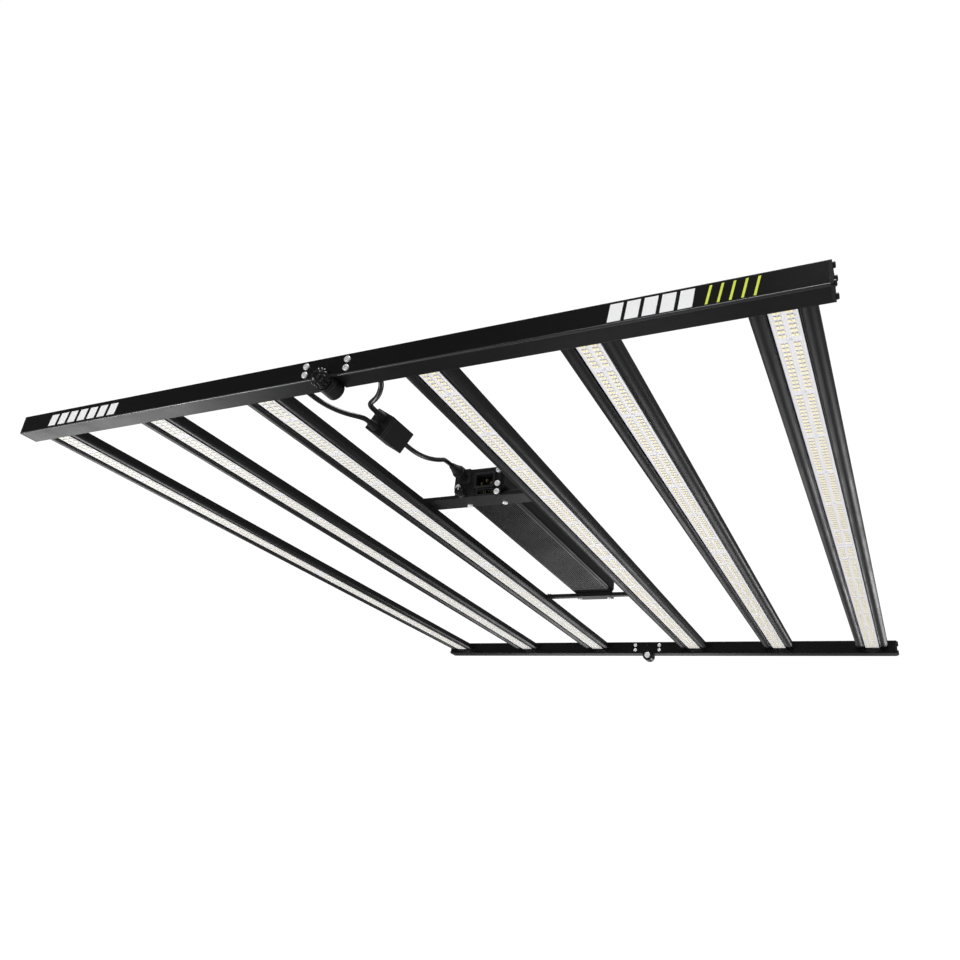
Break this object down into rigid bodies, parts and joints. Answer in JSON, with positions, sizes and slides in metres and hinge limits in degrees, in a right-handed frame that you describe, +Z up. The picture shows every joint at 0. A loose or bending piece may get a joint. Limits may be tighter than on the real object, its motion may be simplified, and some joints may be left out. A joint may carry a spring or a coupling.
{
  "type": "led grow light",
  "caption": "Hinged bar-type LED grow light: parallel light bars between two folding side rails, with a slim driver and splitter cables across the middle.",
  "frame": {"origin": "middle of the four hanging holes, on the rails' top faces", "axes": "+X along the side rails towards the right half, +Y along the LED bars from the near rail (lock knob) to the far rail, +Z up"},
  "size_m": [0.9044, 1.1274, 0.0677],
  "materials": {
    "frame_black": "satin black powder coat",
    "end_cap_black": "moulded, matt",
    "black_screws": "black zinc",
    "steel_screws": "bright zinc",
    "bar_black": "black anodised, drawn lengthwise",
    "board_white": "white solder mask",
    "led_cool": "pale phosphor chips",
    "led_warm": "pale phosphor chips, warmer",
    "hinge_black": "satin black",
    "knob_plastic": "moulded, matt",
    "ring_black": "knurled, matt",
    "rubber_black": "matt",
    "cable_jacket": "smooth, slightly shiny",
    "driver_black": "fine-textured matt black",
    "circuit_green": "green solder mask",
    "transformer_tape": "yellow tape",
    "capacitor_sleeve": "shrink sleeve",
    "connector_black": "moulded, fine grain",
    "bracket_black": "satin black",
    "splitter_plastic": "moulded, satin",
    "harness_sleeve": "woven sleeve"
  },
  "bodies": {
    "left_half": {"board_screws_left": "steel_screws", "cable_driver": "cable_jacket", "cable_grommet_left": "rubber_black", "cable_left": "cable_jacket", "cable_right": "cable_jacket", "connector_plate": "driver_black", "dimmer_module": "connector_black", "driver_board": "circuit_green", "driver_bracket_far": "bracket_black", "driver_bracket_near": "bracket_black", "driver_cap_far": "driver_black", "driver_cap_near": "driver_black", "driver_capacitors": "capacitor_sleeve", "driver_housing": "driver_black", "driver_screws": "steel_screws", "driver_transformers": "transformer_tape", "end_caps_left": "end_cap_black", "far_rail_left": "frame_black", "frame_screws_left": "black_screws", "hinge_fork_far": "hinge_black", "hinge_fork_near": "hinge_black", "hinge_nut_far": "steel_screws", "hinge_pin_far": "steel_screws", "hinge_pin_near": "steel_screws", "hinge_screws_left": "steel_screws", "led_bar_1": "bar_black", "led_bar_2": "bar_black", "led_bar_3": "bar_black", "led_board_1": "board_white", "led_board_2": "board_white", "led_board_3": "board_white", "leds_left": "led_cool", "near_rail_left": "frame_black", "output_plug": "connector_black", "output_socket": "connector_black", "power_inlet": "connector_black", "rail_harness_left": "harness_sleeve", "splitter_body": "splitter_plastic", "splitter_glands": "rubber_black", "splitter_lid": "splitter_plastic"},
    "right_half": {"near_rail_right": "frame_black", "far_rail_right": "frame_black", "end_caps_right": "end_cap_black", "frame_screws_right": "black_screws", "hinge_screws_right": "steel_screws", "leds_right": "led_warm", "board_screws_right": "steel_screws", "cable_grommet_right": "rubber_black", "rail_harness_right": "harness_sleeve", "led_bar_4": "bar_black", "led_bar_5": "bar_black", "led_bar_6": "bar_black", "led_board_4": "board_white", "led_board_5": "board_white", "led_board_6": "board_white", "hinge_tongue_near": "hinge_black", "hinge_tongue_far": "hinge_black"},
    "lock_knob": {"hinge_lock_knob": "knob_plastic"},
    "dimmer": {"dimmer_knob": "knob_plastic"},
    "locking_ring": {"output_ring": "ring_black"}
  },
  "joints": [
    {"name": "frame_fold", "type": "hinge", "parent": "left_half", "child": "right_half", "pos_m": [0, 0, -0.026], "axis": [0, 1, 0], "range_deg": [0, 180], "deforming": ["cable_right"]},
    {"name": "lock_knob_turn", "type": "hinge", "parent": "left_half", "child": "lock_knob", "pos_m": [0, -0.5555, -0.026], "axis": [0, -1, 0], "range_deg": [-360, 0]},
    {"name": "dimmer_turn", "type": "hinge", "parent": "left_half", "child": "dimmer", "pos_m": [-0.021, -0.2355, -0.004], "axis": [0, -1, 0], "range_deg": [0, 300]},
    {"name": "locking_ring_turn", "type": "hinge", "parent": "left_half", "child": "locking_ring", "pos_m": [-0.021, -0.241, 0.0207], "axis": [0, -1, 0], "range_deg": [0, 90]}
  ]
}
